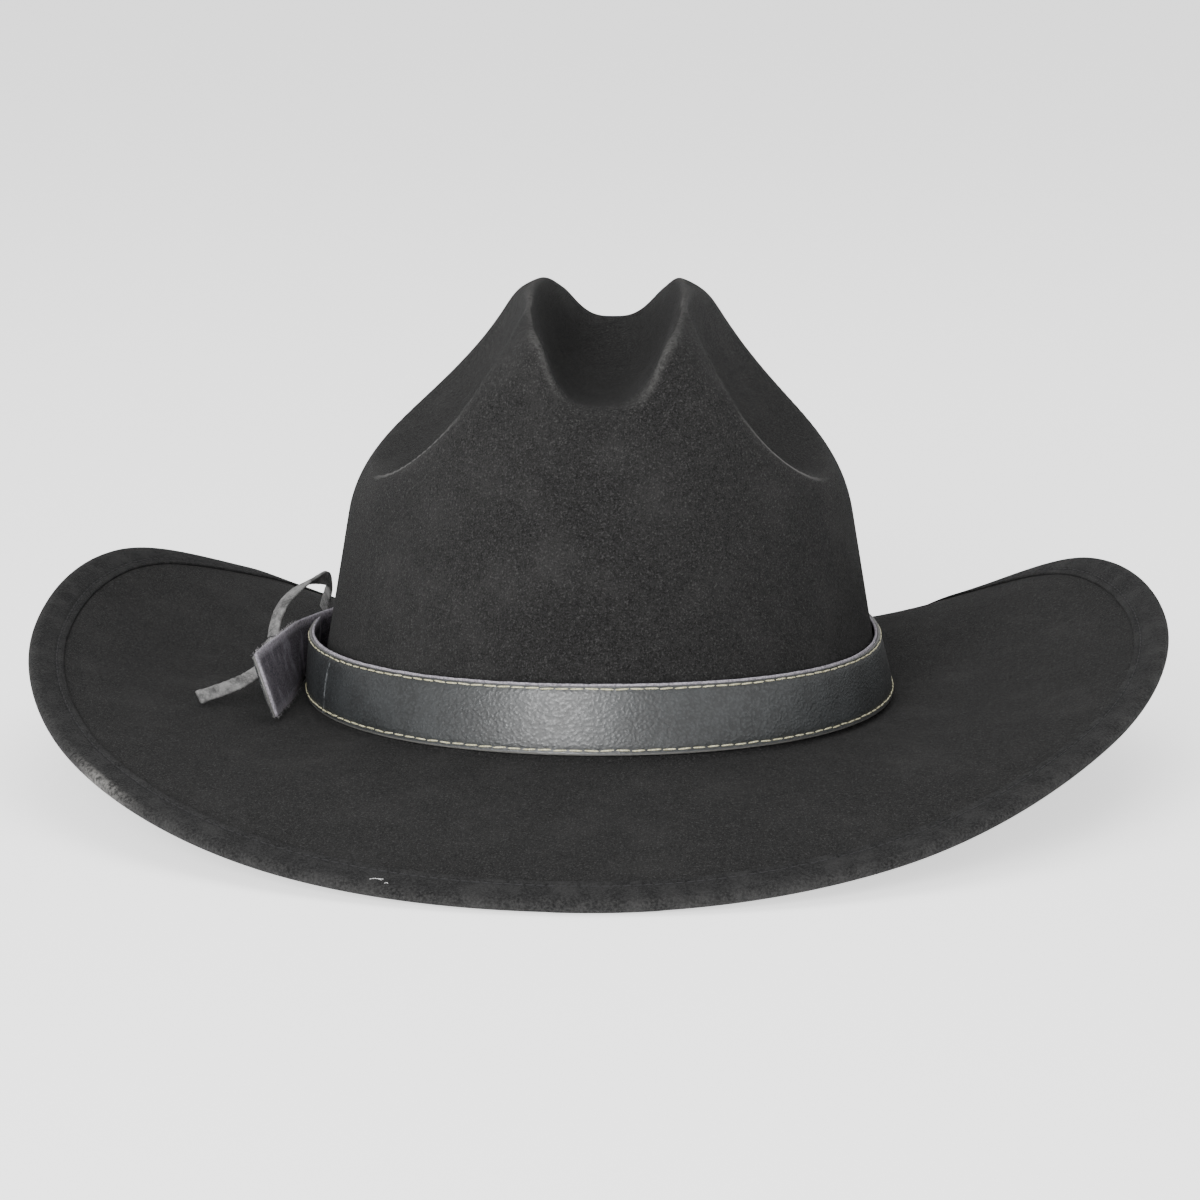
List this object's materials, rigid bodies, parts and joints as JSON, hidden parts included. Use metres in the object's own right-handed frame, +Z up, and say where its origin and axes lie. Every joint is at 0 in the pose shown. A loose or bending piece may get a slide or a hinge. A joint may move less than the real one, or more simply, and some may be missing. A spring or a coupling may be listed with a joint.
{
  "type": "cowboy hat",
  "caption": "Western felt hat with a creased crown, side-curled bound brim, stitched hat band tied with a lace, and a sweatband inside.",
  "frame": {"origin": "middle of the hat's box on the surface that the brim's front and back edges rest on", "axes": "+Z up through the crown, -Y to the front of the hat, +X to the wearer's left"},
  "size_m": [0.3623, 0.3748, 0.1538],
  "materials": {
    "felt": "matt wool felt with a short mottled nap",
    "binding_felt": "matt felt strip, worn paler at its fold",
    "black_thread": "matt twisted thread",
    "spring_wire": "drawn steel",
    "sleeve_brass": "plain",
    "band_leather": "semi-gloss pebbled imitation leather",
    "band_suede": "fuzzy flesh side",
    "cream_thread": "waxed twisted thread",
    "lace_suede": "matt suede lace",
    "sweat_leather": "satin",
    "reed_plastic": "plain",
    "tape_fabric": "woven tape",
    "bow_satin": "satin ribbon",
    "label_fabric": "plain woven, blank"
  },
  "bodies": {
    "hat": {"felt_body": "felt", "brim_binding": "binding_felt", "binding_thread": "black_thread", "brim_wire": "spring_wire", "wire_sleeve": "sleeve_brass", "sweatband": "sweat_leather", "sweatband_reed": "reed_plastic", "reed_tape": "tape_fabric", "sweatband_stitches": "black_thread", "sweatband_bow": "bow_satin", "size_label": "label_fabric", "sweatband_seam_tape": "tape_fabric"},
    "hat_band": {"band_face": "band_leather", "band_backing": "band_suede", "band_stitches_lower": "cream_thread", "band_stitches_upper": "cream_thread", "lace_knot": "lace_suede", "lace_tail": "lace_suede", "lace_loop": "lace_suede"}
  },
  "joints": [
    {"name": "band_lift", "type": "slide", "parent": "hat", "child": "hat_band", "axis": [0, 0, 1], "range_m": [0, 0.15]}
  ]
}
